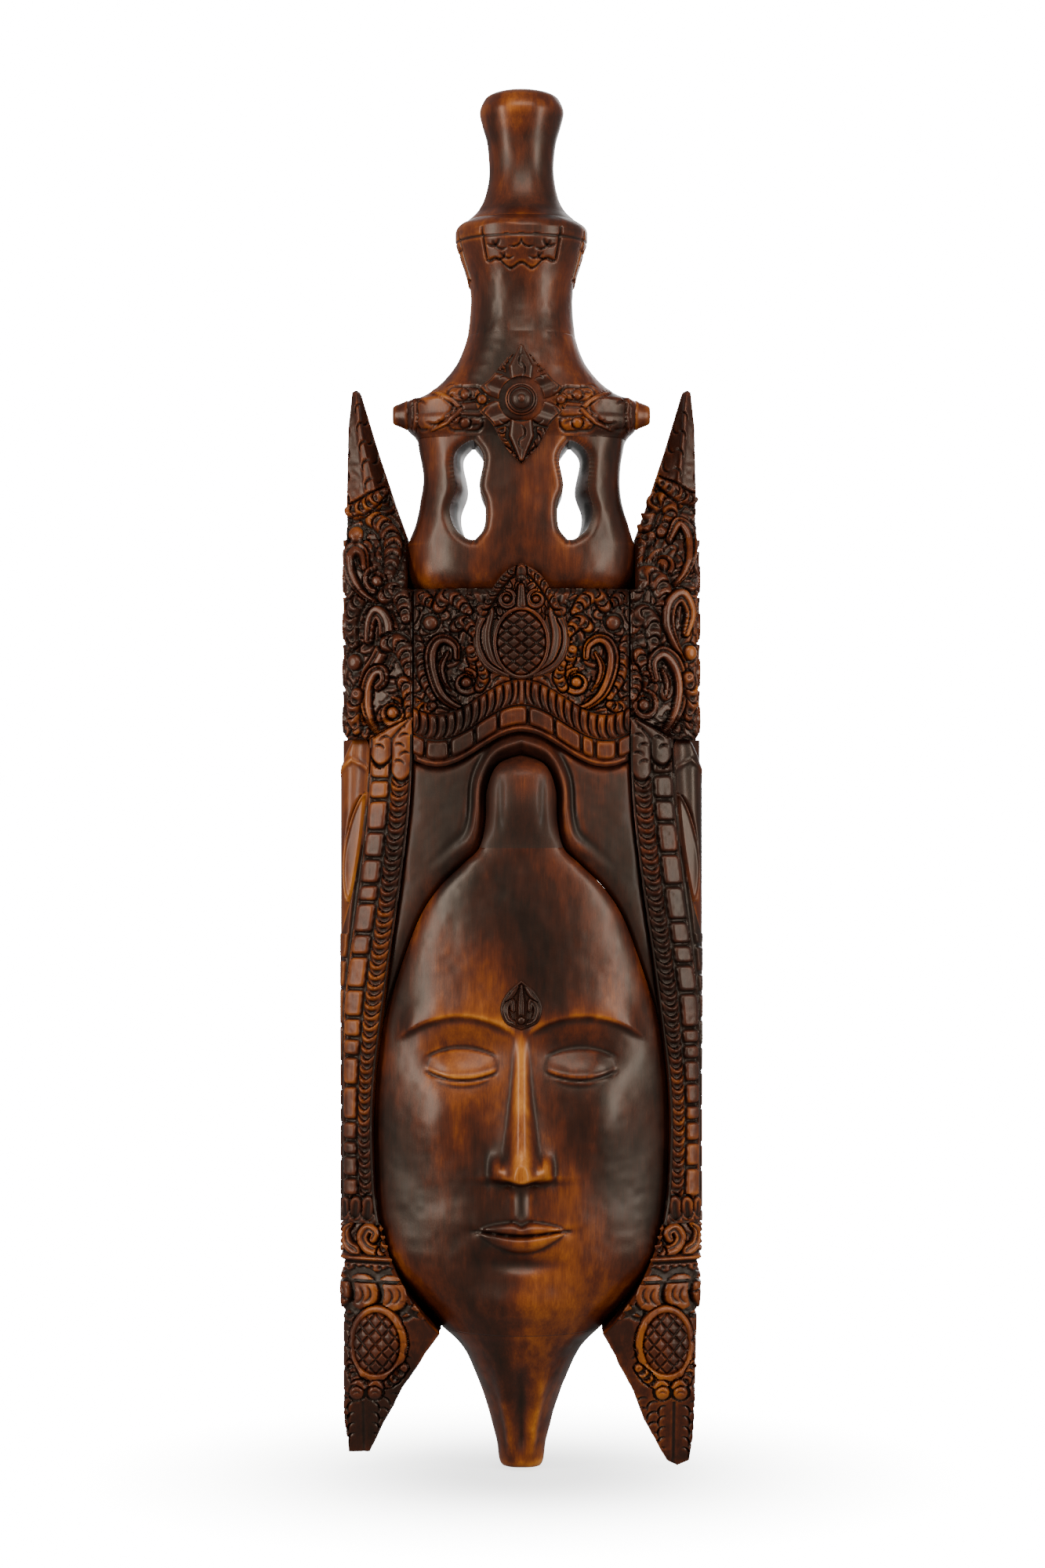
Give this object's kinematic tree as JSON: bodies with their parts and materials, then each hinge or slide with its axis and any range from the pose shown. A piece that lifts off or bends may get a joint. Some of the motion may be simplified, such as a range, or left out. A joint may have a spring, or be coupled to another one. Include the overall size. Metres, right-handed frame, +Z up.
{
  "type": "carved wall mask",
  "caption": "Tall narrow carved wooden wall mask: calm face under a pierced crown with spikes, crossbar and turned finial, hanging from a ring on its back.",
  "frame": {"origin": "on the wall plane, at the tip of the chin's foot, on the centre line", "axes": "+X to the viewer's right, +Y into the wall (the face looks to -Y), +Z up"},
  "size_m": [0.262, 0.118, 0.999],
  "materials": {
    "carved_wood": "dark brown stain under worn wax, satin",
    "worn_wood": "dark brown stain worn to amber on the high places, satin",
    "dark_wood": "near-black stain with old wax in the cuts, satin",
    "hanger_steel": "zinc-plated, dulled"
  },
  "bodies": {
    "mask": {"chin_spur": "carved_wood", "face": "carved_wood", "forehead_jewel": "dark_wood", "hair_left": "carved_wood", "hair_right": "carved_wood", "hair_knob": "worn_wood", "left_lappet": "worn_wood", "right_lappet": "worn_wood", "left_ear": "carved_wood", "right_ear": "carved_wood", "left_tassel": "carved_wood", "right_tassel": "carved_wood", "left_medallion": "worn_wood", "right_medallion": "worn_wood", "crown_band": "carved_wood", "brick_arch": "worn_wood", "gadroon_arch": "carved_wood", "cartouche_frame": "carved_wood", "cartouche_oval": "dark_wood", "left_wing": "carved_wood", "right_wing": "carved_wood", "left_spike": "carved_wood", "right_spike": "carved_wood", "crown_dome": "carved_wood", "crown_neck": "carved_wood", "left_peg": "worn_wood", "right_peg": "worn_wood", "rosette": "dark_wood", "rosette_boss": "worn_wood", "finial_collar": "carved_wood", "finial_knob": "worn_wood", "hanger_strap": "hanger_steel", "hanger_screws": "hanger_steel"},
    "ring": {"hanger_ring": "hanger_steel"}
  },
  "joints": [
    {"name": "ring_swing", "type": "hinge", "parent": "mask", "child": "ring", "pos_m": [0, -0.0042, 0.612], "axis": [1, 0, 0], "range_deg": [0, 180]}
  ]
}
